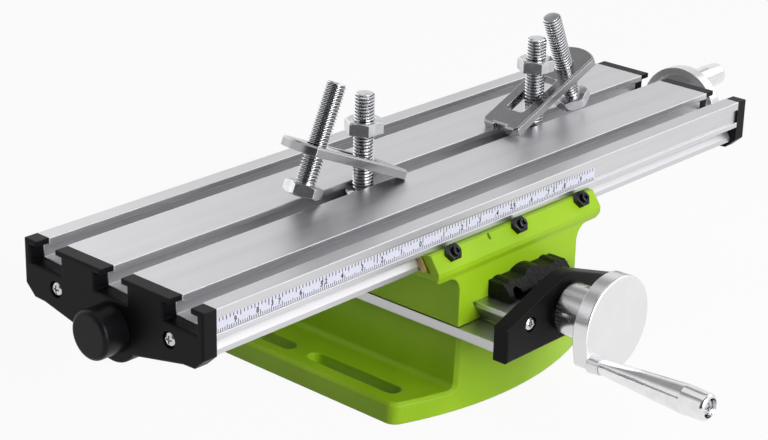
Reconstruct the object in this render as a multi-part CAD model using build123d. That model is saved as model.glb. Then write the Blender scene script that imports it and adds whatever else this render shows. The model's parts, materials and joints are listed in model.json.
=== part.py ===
from build123d import *
import math
import os

# Cross slide table for a small drill press, with two step clamp sets.
# Millimetres. +X runs right along the table, +Y away from the front handwheel, +Z up.
# The origin is the centre of the base casting's bottom face.
# The pieces stand as they do with the saddle near the front of its travel.

# Table extrusion
table_length = 298.0
table_width = 90.0
deck_thickness = 11.0
slot_opening = 9.4
slot_pitch = 33.7
slot_lip = 2.4
slot_cavity_width = 15.6
slot_cavity_height = 5.6
tape_groove_top = 3.3
tape_groove_height = 5.6
tape_groove_depth = 1.0
tape_length = 200.0
tape_thickness = 0.5
tape_margin = 0.1
way_depth = 7.0
way_neck_inset = 6.2
way_land = 2.0
way_root = 0.5
way_channel_half = 21.0
way_angle = 35.0
port_radius = 1.7
table_port_y = 28.5
table_port_drop = 14.4
cell_width = 5.4
cell_height = 3.6
cell_inset = 1.9

# End caps of the table
cap_thickness = 6.0
cap_side_drop = 16.7
cap_shoulder_in = 4.7
cap_shoulder_drop = 21.0
cap_mid_in = 9.9
cap_mid_drop = 21.2
cap_boss_radius = 12.5
cap_boss_angle = 35.0
cap_slot_margin = 0.4
cap_edge_round = 0.9
cap_screw_head_radius = 2.8
cap_screw_head_height = 2.0
cap_screw_bite = 13.0

# Drive screws
x_axis_drop = 19.3
y_axis_drop = 2.5
screw_radius = 5.0
journal_radius = 4.0
shoulder_radius = 5.6
shoulder_length = 2.5
bush_radius = 6.0
bush_flange_radius = 7.5
bush_flange = 1.6
nut_length = 24.0
nut_width = 18.0
nut_rise = 7.0
nut_drop = 6.5
y_nut_offset = 24.0
nut_screw_radius = 2.0
nut_screw_head_radius = 3.4
nut_screw_head_height = 2.2
nut_screw_spacing = 12.8
nut_screw_bite = 3.8
nut_screw_socket_across = 3.0
nut_screw_socket_depth = 1.3

# Dial, handwheel and grip, the same on both screws
dial_radius = 10.0
dial_length = 16.6
dial_bevel = 0.6
dial_hub_radius = 8.0
dial_hub_length = 1.1
wheel_radius = 18.6
wheel_thickness = 6.0
wheel_round = 0.7
wheel_recess_radius = 15.5
wheel_recess_depth = 2.2
crank_radius = 17.4
crank_lobe_radius = 3.0
crank_boss_radius = 3.4
crank_boss_flare = 0.4
crank_boss_length = 4.5
y_crank_angle = 216.3
x_crank_angle = 0.0
pin_radius = 2.0
pin_head_radius = 3.3
pin_head_height = 2.6
pin_bite = 6.0
grip_length = 46.0
grip_neck_radius = 2.9
grip_radius = 5.5
grip_fat_at = 0.78
grip_end_round = 1.8
grip_end_taper = 0.4
grip_waist_share = 0.8
grip_waist_at = 0.55
grip_recess_radius = 3.7
grip_recess_depth = 3.4
grub_radius = 2.0
grub_length = 4.0
grub_from_front = 4.5
grub_socket_radius = 1.15
grub_socket_depth = 1.6
screw_cover_radius = 8.9
screw_cover_length = 10.0
screw_cover_wall = 1.8
screw_cover_round = 1.6

# Saddle casting
saddle_width = 94.6
saddle_web = 16.6
saddle_reach = 6.0
saddle_rest_gap = 16.0
jaw_bottom_drop = 21.6
saddle_leg_half = 34.3
saddle_leg_gap = 0.4
bevel_inset = 4.0
saddle_fillet = 6.0
saddle_corner_round = 2.0
face_recess = 1.0
face_band_drop = 19.0
face_recess_blend = 2.4
trough_half = 9.2
x_trough_drop = 6.7
y_trough_rise = 6.4
index_notch_x = -16.0
index_notch_width = 1.2
index_notch_depth = 0.8
index_notch_drop = 2.0
gib_thickness = 2.5
gib_proud = 1.0
gib_end_trim = 0.4
gib_screw_radius = 1.75
gib_screw_spacing = 37.5
gib_screw_proud = 1.2
gib_screw_edge = 1.5
gib_nut_across = 6.0
gib_nut_height = 2.7
gib_socket_across = 1.8
gib_socket_depth = 1.4

# Dust guard on the saddle's front face
guard_half_width = 18.0
guard_depth = 10.8
guard_top_depth = 5.5
guard_slope_rise = 2.6
guard_shoulder_rise = 6.2
guard_hood_radius = 10.8
guard_lobe_radius = 4.6
guard_lobe_x = 13.4
guard_lobe_rise = 2.2
guard_bore_margin = 1.0
guard_screw_radius = 1.5
guard_screw_bite = 6.0
guard_screw_seat = 3.5
guard_screw_head_radius = 2.2
guard_screw_head_height = 1.5

# Y rail
rail_front_overhang = 16.3
rail_rear_overhang = 0.3
rail_flange_half = 34.5
rail_flange_height = 3.9
rail_height = 11.6
rail_top_half = 25.2
rail_land = 2.0
rail_channel_half = 11.0
rail_channel_floor = 2.0
rail_port_x = 21.3
rail_port_rise = 8.7
rail_screw_x = 18.5
rail_screw_inset = 21.1
rail_screw_radius = 2.4
rail_screw_head_radius = 4.4
rail_screw_head_height = 3.0
rail_screw_tip_gap = 0.2

# End caps of the rail
rail_cap_thickness = 6.2
rail_cap_side = 0.2
rail_cap_drop = 2.8
rail_cap_side_rise = 13.4
rail_cap_crown_radius = 13.4
rail_cap_round = 0.9

# Base casting
base_width = 113.0
base_depth = 134.2
base_sagitta = 11.8
base_thickness = 8.5
pedestal_height = 31.7
base_corner_round = 5.0
base_edge_round = 1.2
pedestal_foot_half = 31.4
pedestal_top_half = 30.4
pedestal_foot_fillet = 2.5
pedestal_wall = 6.0
pedestal_end_wall = 11.0
pedestal_roof = 7.0
pedestal_rib = 6.0
base_slot_width = 7.0
base_slot_length = 46.0
base_slot_x = 47.0
base_slot_y = 26.9

# Clamp sets
bolt_radius = 4.0
hex_across = 13.0
hex_crown = 0.5
hex_crown_slope = 1.6
hex_crown_inset = 0.2
head_dome_share = 0.35
head_dome_shoulder = 0.72
head_dome_drop = 0.3
cross_length_share = 1.1
cross_width_share = 0.28
cross_depth_share = 1.4
hex_head_height = 4.8
bolt_end_chamfer = 0.8
clamp_bolt_length = 37.4
clamp_nut_height = 4.8
jack_bolt_length = 38.0
strap_width = 18.6
strap_thickness = 3.6
strap_side_length = 51.0
strap_tail_bulge = 3.5
strap_angle = 23.5
strap_slot_width = 9.0
strap_slot_start = 10.0
strap_slot_end = 33.0
strap_slot_round = 1.5
strap_nose_chamfer = 1.6
strap_notch_width = 6.0
strap_notch_depth = 1.2
strap_edge_break = 0.6
jack_from_nose = 42.4
jack_twist_angle = 18.0
left_clamp_x = -32.5
left_clamp_angle = -3.0
left_nose_reach = 15.4
left_nut_rise = 20.1
right_clamp_x = 68.0
right_clamp_angle = 178.2
right_nose_reach = 21.8
right_nut_rise = 21.7

# Clearances
slide_gap = 0.05
fit_gap = 0.04
running_gap = 0.05
seat_gap = 0.3
lip_gap = 0.35
rest_gap = 0.05

# Sizes that follow from the ones above
way_tan = math.tan(math.radians(way_angle))
way_cos = math.cos(math.radians(way_angle))
way_sin = math.sin(math.radians(way_angle))
pedestal_top_z = pedestal_height
rail_top_z = pedestal_top_z + rail_height
flange_top_z = pedestal_top_z + rail_flange_height
saddle_ceiling_z = rail_top_z + slide_gap
saddle_bottom_z = flange_top_z + saddle_leg_gap
saddle_floor_z = saddle_ceiling_z + saddle_web
way_bottom_z = saddle_floor_z + slide_gap
deck_bottom_z = way_bottom_z + way_depth
table_top_z = deck_bottom_z + deck_thickness
x_axis_z = table_top_z - x_axis_drop
y_axis_z = rail_top_z - y_axis_drop
jaw_top_z = deck_bottom_z - lip_gap
saddle_length = table_width + 2 * saddle_reach
rail_front_y = -base_depth / 2 - rail_front_overhang
rail_rear_y = base_depth / 2 + rail_rear_overhang
rail_length = rail_rear_y - rail_front_y
table_y = rail_front_y + saddle_rest_gap + saddle_length / 2
half_table = table_length / 2
half_width = table_width / 2
rail_screw_y = base_depth / 2 - rail_screw_inset
bevel_bottom_z = jaw_top_z - bevel_inset / way_tan
gib_room = (gib_thickness + 2 * slide_gap) / way_cos
clamp_head_top_z = table_top_z - slot_lip - slide_gap


def along_x(profile, start, length):
    """Run a profile drawn in (y, z) along +X."""
    return extrude(Plane.YZ.offset(start) * profile, length)


def along_y(profile, start, length):
    """Run a profile drawn in (x, z) along +Y."""
    return extrude(Plane.XZ.offset(-(start + length)) * profile, length)


def rod_x(radius, start, length, y, z):
    return along_x(Pos(y, z) * Circle(radius), start, length)


def rod_y(radius, start, length, x, z):
    return along_y(Pos(x, z) * Circle(radius), start, length)


def rod_z(radius, start, length, x, y):
    return extrude(Pos(x, y, start) * Circle(radius), length)


def outline(points):
    return make_face(Polyline(points, close=True))


def bar(x0, x1, y0, y1):
    """Rectangle between two corners."""
    return Pos((x0 + x1) / 2, (y0 + y1) / 2) * Rectangle(x1 - x0, y1 - y0)


def slot_centres():
    return [table_y + i * slot_pitch for i in (-1, 0, 1)]


def slot_profile(y, margin, above):
    """T-slot opening and cavity in (y, z), grown by margin."""
    neck = slot_opening / 2 + margin
    cavity = slot_cavity_width / 2 + margin
    lip_z = table_top_z - slot_lip + margin
    floor_z = table_top_z - slot_lip - slot_cavity_height - margin
    neck_face = bar(y - neck, y + neck, floor_z, table_top_z + above)
    return neck_face + bar(y - cavity, y + cavity, floor_z, lip_z)


def way_profile(side):
    """One solid dovetail way under the deck, outer face leaning outward towards its foot."""
    neck = half_width - way_neck_inset
    foot = neck + (way_depth - way_land) * way_tan
    top = deck_bottom_z + way_root
    points = [
        (way_channel_half, top),
        (neck, top),
        (neck, deck_bottom_z),
        (foot, way_bottom_z + way_land),
        (foot, way_bottom_z),
        (way_channel_half, way_bottom_z),
    ]
    return outline([(table_y + side * y, z) for y, z in points])


def table_profile():
    section = bar(table_y - half_width, table_y + half_width, deck_bottom_z, table_top_z)
    for side in (-1, 1):
        section += way_profile(side)
    for y in slot_centres():
        section -= slot_profile(y, 0, 1)
    groove_z = table_top_z - tape_groove_top - tape_groove_height / 2
    for side in (-1, 1):
        groove_y = table_y + side * (half_width - tape_groove_depth / 2)
        section -= Pos(groove_y, groove_z) * Rectangle(tape_groove_depth, tape_groove_height)
        port = Pos(table_y + side * table_port_y, table_top_z - table_port_drop)
        section -= port * Circle(port_radius)
        cell_y = table_y + side * (half_width - way_neck_inset - cell_inset - cell_width / 2)
        section -= Pos(cell_y, way_bottom_z + way_depth / 2) * Rectangle(cell_width, cell_height)
    return section


def make_table_extrusion():
    return along_x(table_profile(), -half_table, table_length)


def make_scale_tape():
    height = tape_groove_height - 2 * tape_margin
    z = table_top_z - tape_groove_top - tape_groove_height / 2
    y = table_y - half_width + tape_groove_depth - tape_thickness / 2
    strip = Pos(y, z) * Rectangle(tape_thickness, height)
    return along_x(strip, -half_table, tape_length)


def cap_profile():
    """Outline of a table end cap in (y, z): flat top, sloping belly, round boss on the screw axis."""
    lower = [
        (half_width, table_top_z - cap_side_drop),
        (half_width - cap_shoulder_in, table_top_z - cap_shoulder_drop),
        (half_width - cap_mid_in, table_top_z - cap_mid_drop),
    ]
    boss_drop = cap_boss_radius * math.sin(math.radians(cap_boss_angle))
    boss_half = cap_boss_radius * math.cos(math.radians(cap_boss_angle))
    lower.append((boss_half, x_axis_z - boss_drop))
    right = [(half_width, table_top_z)] + lower
    left = [(-y, z) for y, z in reversed(right)]
    face = outline([(table_y + y, z) for y, z in right + left])
    face += Pos(table_y, x_axis_z) * Circle(cap_boss_radius)
    for y in slot_centres():
        face -= slot_profile(y, cap_slot_margin, 1)
    return face


def make_table_cap(side):
    """End cap; side is -1 for the left end and 1 for the right end."""
    inner = side * half_table
    start = min(inner, inner + side * cap_thickness)
    cap = along_x(cap_profile(), start, cap_thickness)
    outer_face = cap.faces().sort_by(Axis.X)[0 if side < 0 else -1]
    rim = outer_face.outer_wire().edges()
    cap = fillet(rim, cap_edge_round)
    cap -= rod_x(bush_radius, start, cap_thickness, table_y, x_axis_z)
    flange_start = inner if side > 0 else inner - bush_flange
    cap -= rod_x(bush_flange_radius, flange_start, bush_flange, table_y, x_axis_z)
    for place in table_cap_screw_places(side):
        cap -= place * cap_screw_room()
    return cap


def screw_head(radius, height):
    """Raised cross-recess head with its seat on z = 0."""
    dome = radius * head_dome_share
    shoulder = (radius * head_dome_shoulder, height - dome * head_dome_drop)
    profile = make_face(
        Polyline((0, 0), (radius, 0), (radius, height - dome))
        + ThreePointArc((radius, height - dome), shoulder, (0, height))
        + Line((0, height), (0, 0))
    )
    head = revolve(Plane.XZ * profile, Axis.Z)
    long = radius * cross_length_share
    wide = radius * cross_width_share
    recess = Rectangle(long, wide) + Rectangle(wide, long)
    return head - extrude(Pos(0, 0, height - dome * cross_depth_share) * recess, height)


def cap_screw():
    """Pan-head screw sunk flush with the cap's outer face, which lies on z = 0."""
    seat = Pos(0, 0, -cap_screw_head_height)
    stem = disc(port_radius - fit_gap, -cap_screw_bite, cap_screw_bite)
    return seat * (screw_head(cap_screw_head_radius, cap_screw_head_height) + stem)


def cap_screw_room():
    """The counterbored hole that a cap screw needs in its cap."""
    head = disc(cap_screw_head_radius + seat_gap, -cap_screw_head_height, 2 * cap_screw_head_height)
    return head + disc(port_radius + fit_gap, -2 * cap_thickness, 2 * cap_thickness)


def table_cap_screw_places(side):
    x = side * (half_table + cap_thickness)
    z = table_top_z - table_port_drop
    places = []
    for y in (-table_port_y, table_port_y):
        places.append(Plane(origin=(x, table_y + y, z), x_dir=(0, 1, 0), z_dir=(side, 0, 0)))
    return places


def rail_end_y(side):
    """Where the rail ends: side is -1 at the front and 1 at the rear."""
    return rail_front_y if side < 0 else rail_rear_y


def rail_cap_screw_places(side):
    y = rail_end_y(side) + side * rail_cap_thickness
    z = pedestal_top_z + rail_port_rise
    places = []
    for x in (-rail_port_x, rail_port_x):
        places.append(Plane(origin=(x, y, z), x_dir=(1, 0, 0), z_dir=(0, side, 0)))
    return places


def group(solids):
    return Compound(children=list(solids))


def make_cap_screws(places):
    return group(place * cap_screw() for place in places)


def drive_frame(name):
    """Frame on a drive screw at its cap's outer face: local z runs outward, local y up."""
    if name == "x":
        return Plane(
            origin=(half_table + cap_thickness, table_y, x_axis_z), x_dir=(0, 1, 0), z_dir=(1, 0, 0)
        )
    front = rail_front_y - rail_cap_thickness
    return Plane(origin=(0, front, y_axis_z), x_dir=(1, 0, 0), z_dir=(0, -1, 0))


def disc(radius, start, length):
    return extrude(Pos(0, 0, start) * Circle(radius), length)


def make_lead_screw(name):
    """Threaded bar between the caps, with a journal at each end and a shoulder inside each bush."""
    if name == "x":
        run = table_length
        wall = cap_thickness
    else:
        run = rail_length
        wall = rail_cap_thickness
    near = -wall - seat_gap
    far = -wall - run + seat_gap
    tip = -2 * wall - run - screw_cover_length + 2 * screw_cover_wall
    bar_piece = disc(screw_radius, far, near - far)
    bar_piece += disc(shoulder_radius, near - shoulder_length, shoulder_length)
    bar_piece += disc(shoulder_radius, far, shoulder_length)
    outer = running_gap + dial_length + wheel_thickness - wheel_recess_depth
    bar_piece += disc(journal_radius, tip, outer - tip)
    return drive_frame(name) * bar_piece


def bush(journal_side):
    """Flanged bush with its flange on z = 0 side, drawn along +z."""
    body = disc(bush_radius - fit_gap, 0, journal_side) + disc(bush_flange_radius - fit_gap, 0, bush_flange)
    return body - disc(journal_radius + running_gap, -1, journal_side + 2)


def make_bushes(name):
    """One flanged bush in each end cap, its flange facing the screw's shoulder."""
    if name == "x":
        run = table_length
        wall = cap_thickness
    else:
        run = rail_length
        wall = rail_cap_thickness
    near = Pos(0, 0, -wall) * bush(wall)
    far = Pos(0, 0, -wall - run) * Rot(180, 0, 0) * bush(wall)
    frame = drive_frame(name)
    return [frame * near, frame * far]


def make_dial(name):
    ring = disc(dial_radius, running_gap + dial_hub_length, dial_length - dial_hub_length)
    ring = chamfer(ring.edges().sort_by(Axis.Z)[0], dial_bevel)
    ring += disc(dial_hub_radius, running_gap, dial_length)
    ring -= disc(journal_radius + fit_gap, -1, dial_length + 2)
    hole = Plane(origin=(0, 0, dial_length - grub_from_front), x_dir=(0, 0, 1), z_dir=(0, -1, 0))
    ring -= hole * Pos(0, 0, journal_radius) * extrude(Circle(grub_radius + fit_gap), dial_radius)
    return drive_frame(name) * ring


def make_dial_grub(name):
    place = Plane(origin=(0, 0, dial_length - grub_from_front), x_dir=(0, 0, 1), z_dir=(0, -1, 0))
    grub = extrude(Circle(grub_radius), grub_length)
    socket = extrude(RegularPolygon(grub_socket_radius, 6), grub_length)
    grub -= Pos(0, 0, grub_length - grub_socket_depth) * socket
    return drive_frame(name) * place * Pos(0, 0, journal_radius + fit_gap) * grub


def crank_point(name):
    angle = math.radians(x_crank_angle if name == "x" else y_crank_angle)
    return crank_radius * math.cos(angle), crank_radius * math.sin(angle)


def make_handwheel(name):
    """Round plate with a lobe for the crank pin, dished at the back, its boss on the front."""
    px, py = crank_point(name)
    start = running_gap + dial_length
    plan = make_hull((Circle(wheel_radius) + Pos(px, py) * Circle(crank_lobe_radius)).edges())
    plate = extrude(Pos(0, 0, start) * plan, wheel_thickness)
    front = plate.faces().sort_by(Axis.Z)[-1]
    plate = fillet(front.outer_wire().edges(), wheel_round)
    dish = disc(wheel_recess_radius, start, wheel_recess_depth) - disc(dial_radius, start, wheel_recess_depth)
    plate -= dish
    top = start + wheel_thickness
    cone = Pos(px, py, top + crank_boss_length / 2) * Cone(
        crank_boss_radius + crank_boss_flare, crank_boss_radius, crank_boss_length
    )
    plate += cone
    plate -= Pos(px, py) * disc(pin_radius + fit_gap, top - pin_bite + crank_boss_length, pin_bite)
    plate -= disc(journal_radius + fit_gap, start - 1, wheel_thickness - wheel_recess_depth + 1)
    return drive_frame(name) * plate


def crank_frame(name):
    """Frame on the crank pin at the boss face, where the grip starts."""
    px, py = crank_point(name)
    z = running_gap + dial_length + wheel_thickness + crank_boss_length
    return drive_frame(name) * Pos(px, py, z)


def make_crank_pin(name):
    head_z = running_gap + grip_length - grip_recess_depth + running_gap
    pin = disc(pin_radius, -pin_bite + fit_gap, pin_bite + head_z)
    pin += Pos(0, 0, head_z) * screw_head(pin_head_radius, pin_head_height)
    return crank_frame(name) * pin


def make_grip(name):
    """Turned grip: slim neck, swelling towards a rounded end with a recess for the pin head."""
    fat = grip_length * grip_fat_at
    end = grip_radius - grip_end_taper
    waist = (grip_radius * grip_waist_share, fat * grip_waist_at)
    profile = make_face(
        Line((0, 0), (grip_neck_radius, 0))
        + Spline([(grip_neck_radius, 0), waist, (grip_radius, fat)])
        + Line((grip_radius, fat), (end, grip_length))
        + Line((end, grip_length), (0, grip_length))
        + Line((0, grip_length), (0, 0))
    )
    grip = revolve(Plane.XZ * profile, Axis.Z)
    grip = fillet(grip.edges().sort_by(Axis.Z)[-1], grip_end_round)
    grip -= disc(grip_recess_radius, grip_length - grip_recess_depth, grip_recess_depth + 1)
    grip -= disc(pin_radius + running_gap, -1, grip_length + 2)
    return crank_frame(name) * Pos(0, 0, running_gap) * grip


def make_screw_cover(name):
    """Closed moulded cover over the far end of a drive screw."""
    run = table_length + 2 * cap_thickness if name == "x" else rail_length + 2 * rail_cap_thickness
    cover = disc(screw_cover_radius, -run - screw_cover_length, screw_cover_length)
    cover = fillet(cover.edges().sort_by(Axis.Z)[0], screw_cover_round)
    hollow = screw_cover_length - screw_cover_wall
    cover -= disc(bush_radius, -run - hollow, hollow)
    return drive_frame(name) * cover


def jaw_face_y(side, z, extra):
    """Slope of the table's way at height z, moved outward by extra."""
    neck = half_width - way_neck_inset
    return table_y + side * (neck + (deck_bottom_z - z) * way_tan + extra)


def saddle_x_opening():
    """Space between the jaws in (y, z): the ways and their gaps, with the gib's room at the front."""
    top = jaw_top_z + 2
    foot = saddle_floor_z
    gap = slide_gap / way_cos
    return outline(
        [
            (jaw_face_y(-1, top, gib_room), top),
            (jaw_face_y(-1, foot, gib_room), foot),
            (jaw_face_y(1, foot, gap), foot),
            (jaw_face_y(1, top, gap), top),
        ]
    )


def rail_face_x(side, z, extra):
    """Slope of the rail's dovetail at height z, moved outward by extra."""
    return side * (rail_top_half + (z - rail_top_z + rail_land) * way_tan + extra)


def saddle_y_opening():
    """Space under the saddle in (x, z) for the rail's dovetail, with the gib's room on the right."""
    top = saddle_ceiling_z
    foot = saddle_bottom_z - 2
    gap = slide_gap / way_cos
    return outline(
        [
            (rail_face_x(-1, top, gap), top),
            (rail_face_x(-1, foot, gap), foot),
            (rail_face_x(1, foot, gib_room), foot),
            (rail_face_x(1, top, gib_room), top),
        ]
    )


def spaced(pitch, count):
    return [(i - (count - 1) / 2) * pitch for i in range(count)]


def saddle_blank():
    """Two wide jaws on a narrower leg block, seen from the front."""
    jaw_bottom_z = table_top_z - jaw_bottom_drop
    view = bar(-saddle_width / 2, saddle_width / 2, jaw_bottom_z, jaw_top_z)
    view += bar(-saddle_leg_half, saddle_leg_half, saddle_bottom_z, jaw_top_z - 1)
    inner = [v for v in view.vertices() if abs(v.Y - jaw_bottom_z) < 0.01 and abs(v.X) < saddle_leg_half + 1]
    view = fillet(inner, saddle_fillet)
    outer = [v for v in view.vertices() if abs(abs(v.X) - saddle_width / 2) < 0.01 and v.Y < jaw_top_z - 1]
    view = fillet(outer, saddle_corner_round)
    return along_y(view, table_y - saddle_length / 2, saddle_length)


def saddle_face_cut(side):
    """Bevel along the top of one long face, and the shallow set-back below its band."""
    face_y = table_y + side * saddle_length / 2
    band_z = table_top_z - face_band_drop
    bevel = outline(
        [
            (face_y, bevel_bottom_z),
            (face_y - side * bevel_inset, jaw_top_z),
            (face_y - side * bevel_inset, jaw_top_z + 2),
            (face_y + side * 2, jaw_top_z + 2),
            (face_y + side * 2, bevel_bottom_z),
        ]
    )
    set_back = outline(
        [
            (face_y + side, band_z),
            (face_y, band_z),
            (face_y - side * face_recess, band_z - face_recess_blend),
            (face_y - side * face_recess, saddle_bottom_z - 1),
            (face_y + side, saddle_bottom_z - 1),
        ]
    )
    start, run = -saddle_width, 2 * saddle_width
    return along_x(bevel, start, run) + along_x(set_back, start, run)


def make_saddle_casting():
    y0 = table_y - saddle_length / 2
    body = saddle_blank()
    for side in (-1, 1):
        body -= saddle_face_cut(side)
    body -= along_x(saddle_x_opening(), -saddle_width, 2 * saddle_width)
    body -= along_y(saddle_y_opening(), y0 - 1, saddle_length + 2)
    trough_z = x_axis_z - x_trough_drop
    arch_z = rail_top_z + y_trough_rise
    trough = bar(table_y - trough_half, table_y + trough_half, trough_z, saddle_floor_z + 1)
    body -= along_x(trough, -saddle_width, 2 * saddle_width)
    arch = bar(-trough_half, trough_half, saddle_ceiling_z - 1, arch_z)
    body -= along_y(arch, y0 - 1, saddle_length + 2)
    for place in x_gib_places():
        body -= place * disc(gib_screw_radius + fit_gap, -saddle_reach, 2 * saddle_reach)
    for place in y_gib_places():
        body -= place * disc(gib_screw_radius + fit_gap, -saddle_leg_half / 2, saddle_leg_half)
    for x, y in x_nut_screw_places():
        body -= rod_z(nut_screw_radius + fit_gap, arch_z - 1, trough_z - arch_z + 2, x, y)
    for x, y in y_nut_screw_places():
        body -= rod_z(nut_screw_radius + fit_gap, arch_z - 1, saddle_floor_z, x, y)
        seat = saddle_floor_z - nut_screw_head_height - 1
        body -= rod_z(nut_screw_head_radius + running_gap, seat, saddle_floor_z, x, y)
    for x, z in guard_screw_places():
        body -= rod_y(guard_screw_radius + fit_gap, y0 - 1, 1 + face_recess + guard_screw_bite + 1, x, z)
    notch = Box(index_notch_width, 2 * (bevel_inset + index_notch_depth), 2 * index_notch_drop)
    body -= Pos(index_notch_x, y0, jaw_top_z) * notch
    return body


def x_nut_screw_places():
    return [(0, table_y + y) for y in spaced(nut_screw_spacing, 2)]


def y_nut_screw_places():
    return [(x, table_y + y_nut_offset) for x in spaced(nut_screw_spacing, 2)]


def guard_screw_places():
    z = rail_top_z + seat_gap + guard_lobe_rise
    return [(-guard_lobe_x, z), (guard_lobe_x, z)]


def make_x_gib():
    """Flat strip between the front jaw and the table's front way."""
    low = saddle_floor_z + gib_end_trim
    high = jaw_top_z - gib_end_trim
    near = slide_gap / way_cos
    far = (slide_gap + gib_thickness) / way_cos
    section = outline(
        [
            (jaw_face_y(-1, high, near), high),
            (jaw_face_y(-1, high, far), high),
            (jaw_face_y(-1, low, far), low),
            (jaw_face_y(-1, low, near), low),
        ]
    )
    length = saddle_width + 2 * gib_proud
    return along_x(section, -length / 2, length)


def make_y_gib():
    """Flat strip between the saddle's right leg and the rail's dovetail."""
    low = saddle_bottom_z + gib_end_trim
    high = saddle_ceiling_z - gib_end_trim
    near = slide_gap / way_cos
    far = (slide_gap + gib_thickness) / way_cos
    section = outline(
        [
            (rail_face_x(1, high, near), high),
            (rail_face_x(1, high, far), high),
            (rail_face_x(1, low, far), low),
            (rail_face_x(1, low, near), low),
        ]
    )
    return along_y(section, table_y - saddle_length / 2 + face_recess, saddle_length - 2 * face_recess)


def hexagon(across):
    return RegularPolygon(across / math.sqrt(3), 6, major_radius=True)


def set_screw(length):
    """Socket set screw along +z, its socket at the far end."""
    stem = disc(gib_screw_radius, 0, length)
    return stem - extrude(Pos(0, 0, length - gib_socket_depth) * hexagon(gib_socket_across), 5)


def crowned_hex(across, height):
    """Hexagon on z = 0 with its far corners turned off."""
    crown_height = height + hex_crown
    crown = Cone(across / 2 + crown_height * hex_crown_slope, across / 2 - hex_crown_inset, crown_height)
    return extrude(hexagon(across), height) & Pos(0, 0, height - crown_height / 2) * crown


def lock_nut():
    """Thin hexagon nut with its seat on z = 0."""
    nut = crowned_hex(gib_nut_across, gib_nut_height)
    return nut - disc(gib_screw_radius + fit_gap, -1, gib_nut_height + 2)


def x_gib_places():
    """Frames on the front jaw's bevel, local z square to it."""
    y = table_y - saddle_length / 2 + bevel_inset - gib_screw_edge * way_sin
    z = jaw_top_z - gib_screw_edge * way_cos
    out = (0, -way_cos, way_sin)
    return [Plane(origin=(x, y, z), x_dir=(1, 0, 0), z_dir=out) for x in spaced(gib_screw_spacing, 3)]


def y_gib_places():
    """Frames on the saddle's right leg, local z outward."""
    z = (saddle_bottom_z + saddle_ceiling_z) / 2
    x = saddle_leg_half
    places = []
    for y in spaced(gib_screw_spacing, 3):
        places.append(Plane(origin=(x, table_y + y, z), x_dir=(0, 1, 0), z_dir=(1, 0, 0)))
    return places


def make_x_gib_screws():
    place = x_gib_places()[0].origin
    bevel_to_gib = (jaw_face_y(-1, place.Z, gib_room - slide_gap / way_cos) - place.Y) * way_cos
    depth = bevel_to_gib - rest_gap
    length = depth + gib_nut_height + gib_screw_proud
    return group(place * Pos(0, 0, -depth) * set_screw(length) for place in x_gib_places())


def make_y_gib_screws():
    z = y_gib_places()[0].origin.Z + gib_screw_radius
    gib_x = rail_face_x(1, z, gib_room - slide_gap / way_cos)
    depth = saddle_leg_half - gib_x - rest_gap
    length = depth + gib_nut_height + gib_screw_proud
    return group(place * Pos(0, 0, -depth) * set_screw(length) for place in y_gib_places())


def make_lock_nuts(places):
    return group(place * lock_nut() for place in places)


def make_x_nut():
    """Bronze block on the saddle, threaded on the table's drive screw."""
    foot = x_axis_z - x_trough_drop
    block = bar(table_y - nut_width / 2, table_y + nut_width / 2, foot, x_axis_z + nut_rise)
    nut = along_x(block, -nut_length / 2, nut_length)
    nut -= rod_x(screw_radius + running_gap, -nut_length, 2 * nut_length, table_y, x_axis_z)
    for x, y in x_nut_screw_places():
        nut -= rod_z(nut_screw_radius + fit_gap, foot - 1, 1 + nut_screw_bite, x, y)
    return nut


def make_y_nut():
    """Bronze block under the saddle, threaded on the rail's drive screw."""
    top = rail_top_z + y_trough_rise
    centre_y = table_y + y_nut_offset
    block = bar(-nut_width / 2, nut_width / 2, y_axis_z - nut_drop, top)
    nut = along_y(block, centre_y - nut_length / 2, nut_length)
    nut -= rod_y(screw_radius + running_gap, centre_y - nut_length, 2 * nut_length, 0, y_axis_z)
    for x, y in y_nut_screw_places():
        nut -= rod_z(nut_screw_radius + fit_gap, top - nut_screw_bite, nut_screw_bite + 1, x, y)
    return nut


def nut_screw(grip):
    """Cap screw with its seat on z = 0, its stem running down through grip and into the nut."""
    head = disc(nut_screw_head_radius, 0, nut_screw_head_height)
    socket = extrude(hexagon(nut_screw_socket_across), nut_screw_head_height)
    head -= Pos(0, 0, nut_screw_head_height - nut_screw_socket_depth) * socket
    stem = disc(nut_screw_radius, -grip - nut_screw_bite + seat_gap, grip + nut_screw_bite - seat_gap)
    return head + stem


def make_x_nut_screws():
    arch_z = rail_top_z + y_trough_rise
    wall = x_axis_z - x_trough_drop - arch_z
    return group(Pos(x, y, arch_z) * Rot(180, 0, 0) * nut_screw(wall) for x, y in x_nut_screw_places())


def make_y_nut_screws():
    seat = saddle_floor_z - nut_screw_head_height - 1
    wall = seat - rail_top_z - y_trough_rise
    return group(Pos(x, y, seat) * nut_screw(wall) for x, y in y_nut_screw_places())


def make_guard():
    """Moulded hood on the saddle's front face, over the drive screw and the rail's channel."""
    back = table_y - saddle_length / 2 + face_recess
    foot = rail_top_z + seat_gap
    face = bar(-guard_half_width, guard_half_width, foot, foot + guard_shoulder_rise)
    for x, z in guard_screw_places():
        face += Pos(x, z) * Circle(guard_lobe_radius)
    face += Pos(0, y_axis_z) * Circle(guard_hood_radius)
    face -= bar(-2 * guard_half_width, 2 * guard_half_width, foot - 3 * guard_hood_radius, foot)
    hood = along_y(face, back - guard_depth, guard_depth)
    hood -= rod_y(screw_radius + guard_bore_margin, back - guard_depth - 1, guard_depth + 2, 0, y_axis_z)
    for x, z in guard_screw_places():
        hood -= rod_y(guard_screw_radius + fit_gap, back - guard_depth - 1, guard_depth + 2, x, z)
        bore = guard_screw_head_radius + seat_gap
        hood -= rod_y(bore, back - guard_depth - 1, guard_depth + 1 - guard_screw_seat, x, z)
    return hood - guard_slope(back, foot)


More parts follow.
